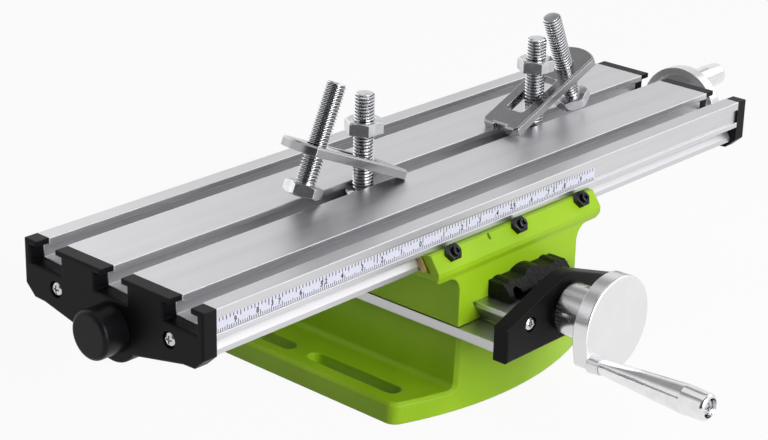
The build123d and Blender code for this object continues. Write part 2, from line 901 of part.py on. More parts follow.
def guard_slope(back, foot):
    """What the slope takes off the hood's upper front."""
    low = foot + guard_slope_rise
    high = y_axis_z + guard_hood_radius
    front = back - guard_depth
    steep = (guard_depth - guard_top_depth) / (high - low)
    side = [(front, low), (back - guard_top_depth, high), (back - guard_top_depth + steep, high + 1)]
    side += [(front - 1, high + 1), (front - 1, low)]
    return along_x(outline(side), -2 * guard_half_width, 4 * guard_half_width)


def make_guard_screws():
    y = table_y - saddle_length / 2 + face_recess - guard_screw_seat
    screws = []
    for x, z in guard_screw_places():
        seat = Plane(origin=(x, y, z), x_dir=(1, 0, 0), z_dir=(0, -1, 0))
        length = guard_screw_seat + guard_screw_bite
        stem = disc(guard_screw_radius, -length, length)
        screws.append(seat * (screw_head(guard_screw_head_radius, guard_screw_head_height) + stem))
    return group(screws)


def rail_profile():
    """Flat flange with a dovetail on top, split by a channel for the drive screw."""
    section = bar(-rail_flange_half, rail_flange_half, pedestal_top_z, flange_top_z)
    foot = rail_face_x(1, flange_top_z, 0)
    section += outline(
        [
            (-rail_top_half, rail_top_z),
            (rail_top_half, rail_top_z),
            (rail_top_half, rail_top_z - rail_land),
            (foot, flange_top_z),
            (foot, flange_top_z - 1),
            (-foot, flange_top_z - 1),
            (-foot, flange_top_z),
            (-rail_top_half, rail_top_z - rail_land),
        ]
    )
    channel_z = pedestal_top_z + rail_channel_floor
    section -= bar(-rail_channel_half, rail_channel_half, channel_z, rail_top_z + 1)
    for side in (-1, 1):
        section -= Pos(side * rail_port_x, pedestal_top_z + rail_port_rise) * Circle(port_radius)
    return section


def make_y_rail():
    rail = along_y(rail_profile(), rail_front_y, rail_length)
    for x in (-rail_screw_x, rail_screw_x):
        for y in (-rail_screw_y, rail_screw_y):
            rail -= rod_z(rail_screw_radius, pedestal_top_z - 1, 1 + rail_flange_height, x, y)
    return rail


def rail_cap_profile():
    """House-shaped cap outline in (x, z), its roof meeting a round crown over the drive screw."""
    half = rail_flange_half + rail_cap_side
    bottom = pedestal_top_z - rail_cap_drop
    eave = bottom + rail_cap_side_rise
    reach = math.hypot(half, eave - y_axis_z)
    turn = math.atan2(eave - y_axis_z, half) + math.acos(rail_cap_crown_radius / reach)
    touch_x = rail_cap_crown_radius * math.cos(turn)
    touch_z = y_axis_z + rail_cap_crown_radius * math.sin(turn)
    walls = Polyline(
        (-touch_x, touch_z), (-half, eave), (-half, bottom), (half, bottom), (half, eave), (touch_x, touch_z)
    )
    crown = ThreePointArc((touch_x, touch_z), (0, y_axis_z + rail_cap_crown_radius), (-touch_x, touch_z))
    return make_face(walls + crown)


def make_rail_cap(side):
    """End cap of the rail; side is -1 at the front and 1 at the rear."""
    inner = rail_end_y(side)
    start = min(inner, inner + side * rail_cap_thickness)
    cap = along_y(rail_cap_profile(), start, rail_cap_thickness)
    outer_face = cap.faces().sort_by(Axis.Y)[0 if side < 0 else -1]
    cap = fillet(outer_face.outer_wire().edges(), rail_cap_round)
    cap -= rod_y(bush_radius, start, rail_cap_thickness, 0, y_axis_z)
    flange_start = inner if side > 0 else inner - bush_flange
    cap -= rod_y(bush_flange_radius, flange_start, bush_flange, 0, y_axis_z)
    for place in rail_cap_screw_places(side):
        cap -= place * cap_screw_room()
    return cap


def base_plan():
    """Base outline: straight sides, front and rear edges bowed outward."""
    half = base_width / 2
    side = base_depth / 2 - base_sagitta
    plan = make_face(
        Line((-half, -side), (-half, side))
        + ThreePointArc((-half, side), (0, base_depth / 2), (half, side))
        + Line((half, side), (half, -side))
        + ThreePointArc((half, -side), (0, -base_depth / 2), (-half, -side))
    )
    return fillet(plan.vertices(), base_corner_round)


def make_base_casting():
    flange = extrude(base_plan(), base_thickness)
    block = outline(
        [
            (-pedestal_foot_half, 0),
            (pedestal_foot_half, 0),
            (pedestal_foot_half, base_thickness),
            (pedestal_top_half, pedestal_top_z),
            (-pedestal_top_half, pedestal_top_z),
            (-pedestal_foot_half, base_thickness),
        ]
    )
    pedestal = along_y(block, -base_depth, 2 * base_depth) & extrude(base_plan(), pedestal_top_z)
    body = flange + pedestal
    foot_edges = body.edges().filter_by(
        lambda e: abs(e.center().Z - base_thickness) < 0.01
        and abs(abs(e.center().X) - pedestal_foot_half) < 0.01
        and e.length > base_depth / 2
    )
    body = fillet(foot_edges, pedestal_foot_fillet)
    rim = body.edges().filter_by(
        lambda e: abs(e.center().Z - base_thickness) < 0.01
        and abs(e.center().X) > pedestal_foot_half + 2 * pedestal_foot_fillet
    )
    body = chamfer(rim, base_edge_round)
    # The casting is hollow underneath, with three cross ribs.
    room_half = pedestal_top_half - pedestal_wall
    room_depth = (base_depth - 2 * pedestal_end_wall - 3 * pedestal_rib) / 4
    for y in spaced(room_depth + pedestal_rib, 4):
        room = bar(-room_half, room_half, y - room_depth / 2, y + room_depth / 2)
        body -= extrude(room, pedestal_top_z - pedestal_roof)
    for x in (-base_slot_x, base_slot_x):
        for y in (-base_slot_y, base_slot_y):
            slot = Pos(x, y) * Rot(0, 0, 90) * SlotOverall(base_slot_length, base_slot_width)
            body -= extrude(slot, base_thickness)
    for x in (-rail_screw_x, rail_screw_x):
        for y in (-rail_screw_y, rail_screw_y):
            body -= rod_z(rail_screw_radius + fit_gap, 0, pedestal_top_z, x, y)
    return body


def make_rail_screws():
    """Screws from inside the base, up through its roof into the rail."""
    seat = pedestal_top_z - pedestal_roof
    screws = []
    for x in (-rail_screw_x, rail_screw_x):
        for y in (-rail_screw_y, rail_screw_y):
            length = pedestal_roof + rail_flange_height - rail_screw_tip_gap
            stem = rod_z(rail_screw_radius - fit_gap, seat, length, x, y)
            head = rod_z(rail_screw_head_radius, seat - rail_screw_head_height, rail_screw_head_height, x, y)
            screws.append(stem + head)
    return group(screws)


def hex_bolt(length):
    """Hexagon bolt along +z, its head below z = 0."""
    head = Rot(180, 0, 0) * crowned_hex(hex_across, hex_head_height)
    stem = disc(bolt_radius, 0, length)
    return head + chamfer(stem.edges().sort_by(Axis.Z)[-1], bolt_end_chamfer)


def clamp_frame(x, turn):
    """Frame on a clamp bolt at the table top; local x points to the strap's nose."""
    return Pos(x, table_y, table_top_z) * Rot(0, 0, turn)


def make_clamp_bolt(x, turn):
    return clamp_frame(x, turn) * Pos(0, 0, clamp_head_top_z - table_top_z) * hex_bolt(clamp_bolt_length)


def make_clamp_nut(x, turn, rise):
    nut = crowned_hex(hex_across, clamp_nut_height)
    nut -= disc(bolt_radius + running_gap, -1, clamp_nut_height + 2)
    return clamp_frame(x, turn) * Pos(0, 0, rise) * nut


def strap_frame(x, turn, reach):
    """Frame in the strap's under face where the bolt's axis crosses it; local x down to the nose."""
    rise = reach * math.sin(math.radians(strap_angle)) + rest_gap
    return clamp_frame(x, turn) * Pos(0, 0, rise) * Rot(0, strap_angle, 0)


def strap_plan():
    """Strap seen from above with the middle of its nose at the origin and its tail towards -x."""
    half = strap_width / 2
    tail = -strap_side_length
    plan = make_face(
        Polyline((tail, half), (0, half), (0, -half), (tail, -half))
        + ThreePointArc((tail, -half), (tail - strap_tail_bulge, 0), (tail, half))
    )
    plan = chamfer(plan.vertices().sort_by(Axis.X)[-2:], strap_nose_chamfer)
    plan -= bar(-strap_notch_depth, 1, -strap_notch_width / 2, strap_notch_width / 2)
    slot = bar(-strap_slot_end, -strap_slot_start, -strap_slot_width / 2, strap_slot_width / 2)
    plan -= fillet(slot.vertices(), strap_slot_round)
    return plan - Pos(-jack_from_nose, 0) * Circle(bolt_radius + running_gap)


def make_strap(x, turn, reach):
    strap = extrude(strap_plan(), strap_thickness)
    top = strap.faces().sort_by(Axis.Z)[-1]
    strap = chamfer(top.outer_wire().edges(), strap_edge_break)
    return strap_frame(x, turn, reach) * Pos(reach, 0, 0) * strap


def jack_head_drop():
    """Distance down the jack bolt from the strap's under face to its head's inner face."""
    tilt = math.radians(strap_angle)
    lowest = (hex_across / 2 - hex_crown_inset) * math.sin(tilt)
    return (jack_from_nose * math.sin(tilt) - lowest) / math.cos(tilt) - hex_head_height


def make_jack_bolt(x, turn, reach):
    """Upside-down bolt screwed through the strap's tail, its head down on the table."""
    bolt = Rot(0, 0, jack_twist_angle) * hex_bolt(jack_bolt_length)
    bolt = Pos(reach - jack_from_nose, 0, -jack_head_drop()) * bolt
    return strap_frame(x, turn, reach) * bolt


def parts():
    """Every node's solid, by name."""
    made = {
        "base_casting": make_base_casting(),
        "y_rail": make_y_rail(),
        "y_rail_screws": make_rail_screws(),
        "y_front_cap": make_rail_cap(-1),
        "y_rear_cap": make_rail_cap(1),
        "y_front_cap_screws": make_cap_screws(rail_cap_screw_places(-1)),
        "y_rear_cap_screws": make_cap_screws(rail_cap_screw_places(1)),
        "saddle_casting": make_saddle_casting(),
        "x_gib": make_x_gib(),
        "y_gib": make_y_gib(),
        "x_gib_screws": make_x_gib_screws(),
        "x_gib_lock_nuts": make_lock_nuts(x_gib_places()),
        "y_gib_screws": make_y_gib_screws(),
        "y_gib_lock_nuts": make_lock_nuts(y_gib_places()),
        "x_nut": make_x_nut(),
        "y_nut": make_y_nut(),
        "x_nut_screws": make_x_nut_screws(),
        "y_nut_screws": make_y_nut_screws(),
        "dust_guard": make_guard(),
        "guard_screws": make_guard_screws(),
        "table_extrusion": make_table_extrusion(),
        "scale_tape": make_scale_tape(),
        "left_end_cap": make_table_cap(-1),
        "right_end_cap": make_table_cap(1),
        "left_cap_screws": make_cap_screws(table_cap_screw_places(-1)),
        "right_cap_screws": make_cap_screws(table_cap_screw_places(1)),
    }
    for name in ("x", "y"):
        near, far = make_bushes(name)
        made[name + "_lead_screw"] = make_lead_screw(name)
        made[name + "_near_bush"] = near
        made[name + "_far_bush"] = far
        made[name + "_dial"] = make_dial(name)
        made[name + "_dial_grub"] = make_dial_grub(name)
        made[name + "_handwheel"] = make_handwheel(name)
        made[name + "_crank_pin"] = make_crank_pin(name)
        made[name + "_grip"] = make_grip(name)
        made[name + "_screw_cover"] = make_screw_cover(name)
    clamps = {
        "left": (left_clamp_x, left_clamp_angle, left_nose_reach, left_nut_rise),
        "right": (right_clamp_x, right_clamp_angle, right_nose_reach, right_nut_rise),
    }
    for name, (x, turn, reach, rise) in clamps.items():
        made[name + "_clamp_bolt"] = make_clamp_bolt(x, turn)
        made[name + "_clamp_nut"] = make_clamp_nut(x, turn, rise)
        made[name + "_clamp_strap"] = make_strap(x, turn, reach)
        made[name + "_jack_bolt"] = make_jack_bolt(x, turn, reach)
    return made


os.makedirs("parts", exist_ok=True)
for node, solid in parts().items():
    export_step(solid, "parts/" + node + ".step")
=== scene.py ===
# %% [markdown]
# # Dressing a cross slide table
# The shapes of this machine table come from a CAD model that is already packed, so this lesson is
# about its looks: the studio, the paint and metals, the real threads on its screws, and the fine
# marks on its scale and dials. Everything is in metres, with +Z up, and the CAD pieces never move.
# Each piece is carried by a named body, such as "table" or "x_screw", so it follows the slides and
# handwheels when the model is posed.

# %% Load the frame
import json
import math

import bpy
from mathutils import Matrix, Vector


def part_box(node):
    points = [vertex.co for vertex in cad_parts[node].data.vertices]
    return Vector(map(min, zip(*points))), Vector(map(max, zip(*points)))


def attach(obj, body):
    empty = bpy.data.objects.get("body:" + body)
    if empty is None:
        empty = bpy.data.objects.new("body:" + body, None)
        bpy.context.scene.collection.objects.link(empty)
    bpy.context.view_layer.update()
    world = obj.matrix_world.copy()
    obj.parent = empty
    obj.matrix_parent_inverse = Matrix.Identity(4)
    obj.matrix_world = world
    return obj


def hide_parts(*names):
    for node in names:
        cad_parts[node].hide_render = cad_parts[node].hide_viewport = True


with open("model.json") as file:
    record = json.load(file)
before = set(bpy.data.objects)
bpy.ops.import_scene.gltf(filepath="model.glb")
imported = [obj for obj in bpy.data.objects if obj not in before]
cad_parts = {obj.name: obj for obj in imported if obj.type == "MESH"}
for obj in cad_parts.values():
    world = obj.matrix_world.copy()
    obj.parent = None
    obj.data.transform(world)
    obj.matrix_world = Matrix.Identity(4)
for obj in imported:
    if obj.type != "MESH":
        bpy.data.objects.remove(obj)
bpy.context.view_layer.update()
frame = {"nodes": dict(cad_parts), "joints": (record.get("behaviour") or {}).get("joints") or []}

mm = 0.001
nodes = frame["nodes"]

# %% [markdown]
# ## Camera
# A product photo like this one is taken from a little above with a long lens. The camera's place
# and turn were worked out from the numbered scale on the table's edge, whose real spacing is
# known. The matrix below holds the camera's right, up and backward directions as its columns. The
# lens and the small shifts put the picture's middle where the real lens had it.

# %% Camera
photo_width, photo_height = 768, 440
focal_pixels = 2092.485
lens_middle = (389.727, 220.192)
camera_spot = Vector((-565.89, -506.975, 353.181)) * mm
right = Vector((0.673252, -0.739038, 0.023563))
up = Vector((0.259974, 0.266424, 0.928134))
forward = Vector((0.692203, 0.618742, -0.371501))
camera_data = bpy.data.cameras.new("photo_camera")
camera = bpy.data.objects.new("photo_camera", camera_data)
bpy.context.scene.collection.objects.link(camera)
camera_turn = Matrix((right, up, -forward)).transposed().to_4x4()
camera.matrix_world = Matrix.Translation(camera_spot) @ camera_turn
camera_data.lens = focal_pixels / photo_width * camera_data.sensor_width
camera_data.shift_x = (photo_width / 2 - lens_middle[0]) / photo_width
camera_data.shift_y = (lens_middle[1] - photo_height / 2) / photo_width
camera_data.clip_start = 0.05
bpy.context.scene.camera = camera
print("lens", round(camera_data.lens, 1), "mm")

# %% [markdown]
# ## Shader helper
# A procedural material is a small calculation, and wiring it node by node hides the idea. The
# Wire class wraps one output socket so that it can be used like a number: adding or multiplying
# two wires adds a Math node. The Finish class holds one material and has a single method, node,
# that makes any other node: its settings are set first, then its sockets get values or links.

# %% Wire: a socket used like a number
class Wire:
    def __init__(self, finish, socket):
        self.finish = finish
        self.socket = socket

    def maths(self, operation, first, second):
        return self.finish.node("ShaderNodeMath", {"operation": operation}, {0: first, 1: second})

    def __add__(self, other):
        return self.maths("ADD", self, other)

    def __radd__(self, other):
        return self.maths("ADD", other, self)

    def __sub__(self, other):
        return self.maths("SUBTRACT", self, other)

    def __rsub__(self, other):
        return self.maths("SUBTRACT", other, self)

    def __mul__(self, other):
        return self.maths("MULTIPLY", self, other)

    def __rmul__(self, other):
        return self.maths("MULTIPLY", other, self)

    def between(self, low, high):
        """0 below low, 1 above high, and a smooth step from one to the other."""
        return self.finish.node(
            "ShaderNodeMapRange",
            {"interpolation_type": "SMOOTHSTEP"},
            {"Value": self, "From Min": low, "From Max": high},
        )


# %% Finish: one material being wired
class Finish:
    def __init__(self, name, kept_in=bpy.data.materials, shader="Principled BSDF"):
        self.owner = kept_in.new(name)
        self.owner.use_nodes = True
        self.tree = self.owner.node_tree
        self.shader = self.tree.nodes[shader]

    def fill(self, socket, value):
        if isinstance(value, Wire):
            self.tree.links.new(value.socket, socket)
        elif socket.type == "RGBA" and len(value) == 3:
            socket.default_value = (*value, 1.0)
        else:
            socket.default_value = value

    def node(self, kind, settings, sockets, output=0):
        made = self.tree.nodes.new(kind)
        for key, value in settings.items():
            setattr(made, key, value)
        for key, value in sockets.items():
            self.fill(made.inputs[key], value)
        return Wire(self, made.outputs[output])

    def surface(self, **sockets):
        for key, value in sockets.items():
            self.fill(self.shader.inputs[key.replace("_", " ")], value)
        return self.owner


# %% [markdown]
# ## Building blocks of a finish
# Most finishes need the same few ingredients. "place" is the point on the piece in millimetres,
# taken from Object coordinates so that the pattern travels with the piece. "noise" is a cloudy
# pattern; stretching its place along one axis turns clouds into brushed lines. "edges" compares
# the true surface normal with one rounded by the Bevel node: they differ only near an edge, which
# is where the finishes below paint a lighter colour, a painted highlight (on black oxide also worn
# corners). "way_faced" is the surface normal itself, for masks that depend on which way a face
# looks, "share_of" takes one axis of a vector, and "dot" says how far two directions agree.

# %% Place, noise, directions, edges, bump and mix
def place(finish, stretch=(1.0, 1.0, 1.0)):
    point = finish.node("ShaderNodeTexCoord", {}, {}, "Object")
    scale = tuple(s / mm for s in stretch)
    return finish.node("ShaderNodeVectorMath", {"operation": "MULTIPLY"}, {0: point, 1: scale})


def share_of(finish, vector, axis):
    return finish.node("ShaderNodeSeparateXYZ", {}, {0: vector}, "xyz".index(axis))


def noise(finish, where, scale, detail=2.0, roughness=0.5):
    sockets = {"Vector": where, "Scale": scale, "Detail": detail, "Roughness": roughness}
    return finish.node("ShaderNodeTexNoise", {}, sockets)


def way_faced(finish):
    return finish.node("ShaderNodeNewGeometry", {}, {}, "Normal")


def dot(finish, first, second):
    settings = {"operation": "DOT_PRODUCT"}
    return finish.node("ShaderNodeVectorMath", settings, {0: first, 1: second}, "Value")


def rounded_normal(finish, radius_mm):
    return finish.node("ShaderNodeBevel", {"samples": 6}, {"Radius": radius_mm * mm})


def edges(finish, normal, low=0.01, high=0.12):
    return (1 - dot(finish, way_faced(finish), normal)).between(low, high)


def bump(finish, height, depth_mm, normal=None):
    sockets = {"Height": height, "Distance": depth_mm * mm}
    if normal is not None:
        sockets["Normal"] = normal
    return finish.node("ShaderNodeBump", {}, sockets)


def mix(finish, mask, first, second):
    settings = {"data_type": "RGBA"}
    return finish.node("ShaderNodeMix", settings, {0: mask, 6: first, 7: second}, 2)


print("shader helper ready")

# %% [markdown]
# ## Lime green paint on cast metal
# The base and the saddle are sand castings under a coat of lime green paint. The mould leaves a
# fine pebbly grain that still shows through the paint, and the gloss varies a little. Sharp edges
# get a lighter green, which is a painted highlight. Underneath, the casting is ground flat and left
# bare, so a mask made from height and from the way the surface faces puts bare metal there.

# %% Cast green
def cast_green_finish():
    finish = Finish("cast_green_paint")
    here = place(finish)
    cloud = noise(finish, here, scale=0.035, detail=2.0)
    grain = noise(finish, here, scale=1.1, detail=3.0, roughness=0.6)
    pits = noise(finish, here, scale=0.34, detail=2.0, roughness=0.5)
    soft = rounded_normal(finish, 0.7)
    edge = edges(finish, soft)
    tone = mix(finish, cloud.between(0.35, 0.65), (0.295, 0.515, 0.008), (0.345, 0.575, 0.013))
    # Sharp edges are mixed half way to a lighter green: a painted highlight.
    paint = mix(finish, edge * 0.5, tone, (0.480, 0.700, 0.060))
    downward = 0 - share_of(finish, way_faced(finish), "z")
    height = share_of(finish, here, "z")
    bare = downward.between(0.97, 0.99) * (1 - height.between(0.2, 0.4))
    ground = noise(finish, place(finish, (0.05, 2.0, 1.0)), scale=1.2, detail=3.0)
    metal = mix(finish, ground, (0.30, 0.30, 0.31), (0.46, 0.46, 0.47))
    rough = 0.36 + 0.10 * grain + 0.08 * cloud
    return finish.surface(
        Base_Color=mix(finish, bare, paint, metal),
        Metallic=bare,
        Roughness=rough + bare * 0.06,
        Normal=bump(finish, grain * 0.6 + pits * 0.4, 0.11, soft),
        Coat_Weight=(1 - bare) * 0.08,
        Coat_Roughness=0.18,
        Specular_IOR_Level=0.28,
    )


cast_green = cast_green_finish()
print(cast_green.name, len(cast_green.node_tree.nodes), "nodes")

# %% [markdown]
# ## Extruded aluminium
# The long table and the rail are aluminium pushed through a die and lightly anodised. The die
# leaves fine parallel lines along the whole length, so the noise is stretched more than a
# hundredfold along that axis. The lines change roughness and colour a little and barely move the
# normal. The corners of the profile are rounded in the shading and mixed to near white, a painted
# highlight where the light would catch their tiny radius. The rail is the duller of the two, so
# each gets its own pair of tones.

# %% Extruded aluminium, with its lines along x or y
def extruded_finish(name, along, dark, light):
    finish = Finish(name)
    stretch = {"x": (0.006, 1.0, 1.0), "y": (1.0, 0.006, 1.0)}[along]
    lines = noise(finish, place(finish, stretch), scale=2.2, detail=4.0, roughness=0.7)
    wider = tuple(0.4 * s for s in stretch)
    bands = noise(finish, place(finish, wider), scale=0.5, detail=2.0)
    scuffs = noise(finish, place(finish), scale=0.05, detail=3.0, roughness=0.6)
    soft = rounded_normal(finish, 0.55)
    edge = edges(finish, soft)
    dull = mix(finish, (lines * 0.6 + bands * 0.4).between(0.10, 0.90), dark, light)
    return finish.surface(
        # Edges are mixed to near white: a painted highlight.
        Base_Color=mix(finish, edge, dull, (0.97, 0.97, 0.98)),
        Metallic=1.0,
        Roughness=0.28 + 0.16 * lines + 0.08 * scuffs - 0.12 * edge,
        Normal=bump(finish, lines, 0.012, soft),
    )


deck_aluminium = extruded_finish(
    "extruded_aluminium_long", "x", (0.58, 0.575, 0.595), (0.72, 0.715, 0.735)
)
rail_aluminium = extruded_finish(
    "extruded_aluminium_short", "y", (0.46, 0.455, 0.465), (0.58, 0.575, 0.585)
)
print(deck_aluminium.name, rail_aluminium.name)

# %% [markdown]
# ## Black mouldings
# The end caps, the screw covers and the guard over the rail are three blacks. The caps have a fine
# spark texture, which is a tiny, dense bump. The covers are smoother, so their highlights are
# sharper. The guard is rubber with small folds, and a second, deeper bump makes those. None is
# pure black, because real black plastic reflects a few percent.

# %% Black mouldings
def moulded_black_finish(name, rough, level, crinkle_mm=0.0):
    finish = Finish(name)
    here = place(finish)
    grain = noise(finish, here, scale=2.6, detail=2.0, roughness=0.6)
    cloud = noise(finish, here, scale=0.06, detail=2.0)
    soft = rounded_normal(finish, 0.5)
    edge = edges(finish, soft)
    tone = mix(finish, cloud, (0.0050, 0.0046, 0.0058), (0.0090, 0.0084, 0.0100))
    folds = noise(finish, here, scale=0.45, detail=3.0, roughness=0.65)
    return finish.surface(
        # Edges are mixed to a lighter grey: a painted highlight.
        Base_Color=mix(finish, edge * 0.7, tone, (0.040, 0.039, 0.043)),
        Roughness=rough + 0.16 * grain,
        Normal=bump(finish, folds, crinkle_mm, bump(finish, grain, 0.030, soft)),
        Specular_IOR_Level=level,
    )


moulded_black = moulded_black_finish("moulded_black", rough=0.34, level=0.10)
glossy_black = moulded_black_finish("glossier_moulded_black", rough=0.24, level=0.14)
guard_rubber = moulded_black_finish("crinkled_rubber", rough=0.26, level=0.14, crinkle_mm=0.55)
print(moulded_black.name, glossy_black.name, guard_rubber.name)

# %% [markdown]
# ## Plated, blackened and brass metals
# Zinc plate is a bright grey with faint clouds from the bath. Black oxide is a thin dark skin that
# rubs off on corners. Brass is warm and slightly dull, and the lead screws are plain steel under a
# film of oil. Each of them gets a lighter colour on its edges, a painted highlight, which on black
# oxide also stands for the rubbed corners. A bolt's thread needs two more: a brighter zinc on its
# ridges, a painted highlight, and a dark metal in the valleys between them, dirt and painted shade.
# One function serves them all, given two tones, the lighter edge colour and how rough the metal
# is. On a thread the edges are softened less, or its ridges would vanish.

# %% A metal with clouds and lighter edges: a painted highlight, and wear on black oxide
def clouded_metal(name, dark, light, highlight_and_wear_tone, rough, spread=0.12, grain_mm=0.010, soften_mm=0.2):
    finish = Finish(name)
    here = place(finish)
    cloud = noise(finish, here, scale=0.22, detail=3.0, roughness=0.6)
    fine = noise(finish, here, scale=3.0, detail=2.0, roughness=0.6)
    soft = rounded_normal(finish, soften_mm)
    edge = edges(finish, soft)
    tone = mix(finish, cloud.between(0.3, 0.7), dark, light)
    return finish.surface(
        # The edges get the lighter tone: a painted highlight, and on black oxide also wear.
        Base_Color=mix(finish, edge, tone, highlight_and_wear_tone),
        Metallic=1.0,
        Roughness=rough + spread * fine,
        Normal=bump(finish, fine, grain_mm, soft),
    )


# The near white that zinc gets on its edges: a painted highlight.
zinc_edge_highlight = (0.94, 0.94, 0.95)
thread_softening = 0.03
zinc_steel = clouded_metal(
    "bright_zinc_plate", (0.52, 0.53, 0.55), (0.66, 0.67, 0.69), zinc_edge_highlight,
    rough=0.12, spread=0.08, soften_mm=0.32,
)
# Black oxide's grey edges are both rubbed-off skin and a painted highlight.
black_steel = clouded_metal(
    "black_oxide", (0.013, 0.014, 0.016), (0.034, 0.035, 0.038), (0.22, 0.22, 0.225), rough=0.28
)
brass = clouded_metal(
    "dull_brass", (0.22, 0.16, 0.06), (0.36, 0.27, 0.11), (0.60, 0.48, 0.24), rough=0.34
)
screw_steel = clouded_metal(
    "oiled_thread_steel", (0.33, 0.33, 0.34), (0.47, 0.47, 0.48), (0.66, 0.66, 0.67),
    rough=0.26,
)
# A bolt's ridges get a brighter zinc, a painted highlight; its valleys a dark metal, dirt and
# painted shade.
thread_ridge_highlight_zinc = clouded_metal(
    "zinc_thread", (0.68, 0.69, 0.71), (0.80, 0.81, 0.83), zinc_edge_highlight,
    rough=0.12, spread=0.06, soften_mm=thread_softening,
)
thread_valley_dirt_and_shade = clouded_metal(
    "dark_thread_valley", (0.07, 0.07, 0.075), (0.12, 0.12, 0.127), (0.15, 0.15, 0.155),
    rough=0.38, soften_mm=thread_softening,
)
print("hardware metals ready")

# %% [markdown]
# ## Pressed clamp straps
# The two slotted straps are pressed from thick steel and zinc plated. Their broad faces are
# scratched along the strap by use. The broken edge is mixed to near white, a painted highlight
# for the bright line where it catches the light. The scratches run nearly along x for both
# straps, so the noise is stretched that way.

# %% Strap steel
def strap_finish():
    finish = Finish("pressed_strap_steel")
    scratches = noise(finish, place(finish, (0.05, 1.0, 0.3)), scale=3.0, detail=4.0, roughness=0.7)
    cloud = noise(finish, place(finish), scale=0.09, detail=3.0, roughness=0.6)
    soft = rounded_normal(finish, 0.45)
    edge = edges(finish, soft, 0.02, 0.15)
    tone = mix(finish, scratches * 0.5 + cloud * 0.5, (0.30, 0.295, 0.305), (0.47, 0.465, 0.48))
    return finish.surface(
        # The edge is mixed to near white: a painted highlight.
        Base_Color=mix(finish, edge, tone, (0.90, 0.90, 0.91)),
        Metallic=1.0,
        Roughness=0.14 + 0.14 * scratches,
        Normal=bump(finish, scratches, 0.012, soft),
    )


strap_steel = strap_finish()
print(strap_steel.name)

# %% [markdown]
# ## Turned wheels, dials and grips
# The handwheels are aluminium, faced on a lathe: very fine rings run round the axis. The rings
# are noise over the distance from the axis, so each wheel needs to know where its axis is. Its
# rim is polished and its flat face is left rougher, so a mask finds the faces that look along the
# axis. The dials have the same rings under satin chrome, and the grips are polished until almost
# none show.

# %% A turned metal with rings round its axis
def turned_metal(name, axis, centre, dark, light, rough, ring_depth):
    finish = Finish(name)
    flatten = (0.0, 1.0, 1.0) if axis == "x" else (1.0, 0.0, 1.0)
    middle = tuple(c * f for c, f in zip(centre, flatten))
    rings_per_mm = 9.0
    outward = {0: place(finish, flatten), 1: middle}
    from_axis = finish.node("ShaderNodeVectorMath", {"operation": "SUBTRACT"}, outward)
    radius = finish.node("ShaderNodeVectorMath", {"operation": "LENGTH"}, {0: from_axis}, "Value")
    along = share_of(finish, place(finish), axis)
    ring_spot = {0: radius * rings_per_mm, 1: along * rings_per_mm}
    ring_place = finish.node("ShaderNodeCombineXYZ", {}, ring_spot)
    rings = noise(finish, ring_place, scale=1.0, detail=3.0, roughness=0.6)
    cloud = noise(finish, place(finish), scale=0.12, detail=2.0)
    soft = rounded_normal(finish, 0.3)
    edge = edges(finish, soft)
    tone = mix(finish, rings * 0.5 + cloud * 0.5, dark, light)
    facing = share_of(finish, way_faced(finish), axis)
    faced = (facing * facing).between(0.5, 0.9)
    return finish.surface(
        # Edges are mixed to a light grey: a painted highlight.
        Base_Color=mix(finish, edge, tone, (0.86, 0.86, 0.86)),
        Metallic=1.0,
        Roughness=rough + 0.10 * rings + 0.26 * faced,
        Normal=bump(finish, rings, ring_depth, soft),
    )


x_screw_y, x_screw_z = -16.4, 58.7
y_screw_z = 40.8
wheel_metal = {}
dial_metal = {}
for drive, centre in (("x", (0.0, x_screw_y, x_screw_z)), ("y", (0.0, 0.0, y_screw_z))):
    wheel_metal[drive] = turned_metal(
        drive + "_wheel_aluminium", drive, centre, (0.68, 0.68, 0.69), (0.80, 0.80, 0.81),
        rough=0.16, ring_depth=0.003,
    )
    dial_metal[drive] = turned_metal(
        drive + "_satin_dial", drive, centre, (0.55, 0.55, 0.56), (0.74, 0.74, 0.75),
        rough=0.16, ring_depth=0.0015,
    )
grip_chrome = clouded_metal(
    "polished_grip", (0.76, 0.76, 0.77), (0.84, 0.84, 0.85), (0.92, 0.92, 0.92),
    rough=0.09, spread=0.05, grain_mm=0.002,
)
print("wheels, dials and grips")

# %% [markdown]
# ## Printed tape and engraved marks
# The scale on the table's edge is a white printed tape, and the marks are black ink. The dials
# are engraved: each line is a shallow cut whose matt floor looks pale beside the satin metal.
# These are plain materials, but they still vary a little so that no surface is perfectly even.

# %% Tape, ink and engraving
def matt_finish(name, dark, light, rough):
    finish = Finish(name)
    here = place(finish)
    cloud = noise(finish, here, scale=0.15, detail=3.0, roughness=0.6)
    fine = noise(finish, here, scale=4.0, detail=1.0)
    return finish.surface(
        Base_Color=mix(finish, cloud, dark, light),
        Roughness=rough + 0.10 * fine,
        Normal=bump(finish, fine, 0.004),
    )


tape_white = matt_finish("tape_white", (0.68, 0.68, 0.80), (0.74, 0.74, 0.85), rough=0.42)
ink_black = matt_finish("ink_black", (0.006, 0.006, 0.010), (0.014, 0.014, 0.020), rough=0.60)
engraving = matt_finish("engraved_line", (0.34, 0.34, 0.35), (0.46, 0.46, 0.47), rough=0.60)
print("tape and ink")

# %% [markdown]
# ## Dressing the CAD pieces
# The CAD objects keep their shape and place; only their material slots change. Every node gets
# one finish below, the paired ones in two loops. The last line lists any piece that was left out.

# %% Assign materials
dressed = {}


def dress(material, *names):
    for name in names:
        slots = nodes[name].data.materials
        slots.clear()
        slots.append(material)
        dressed[name] = material.name


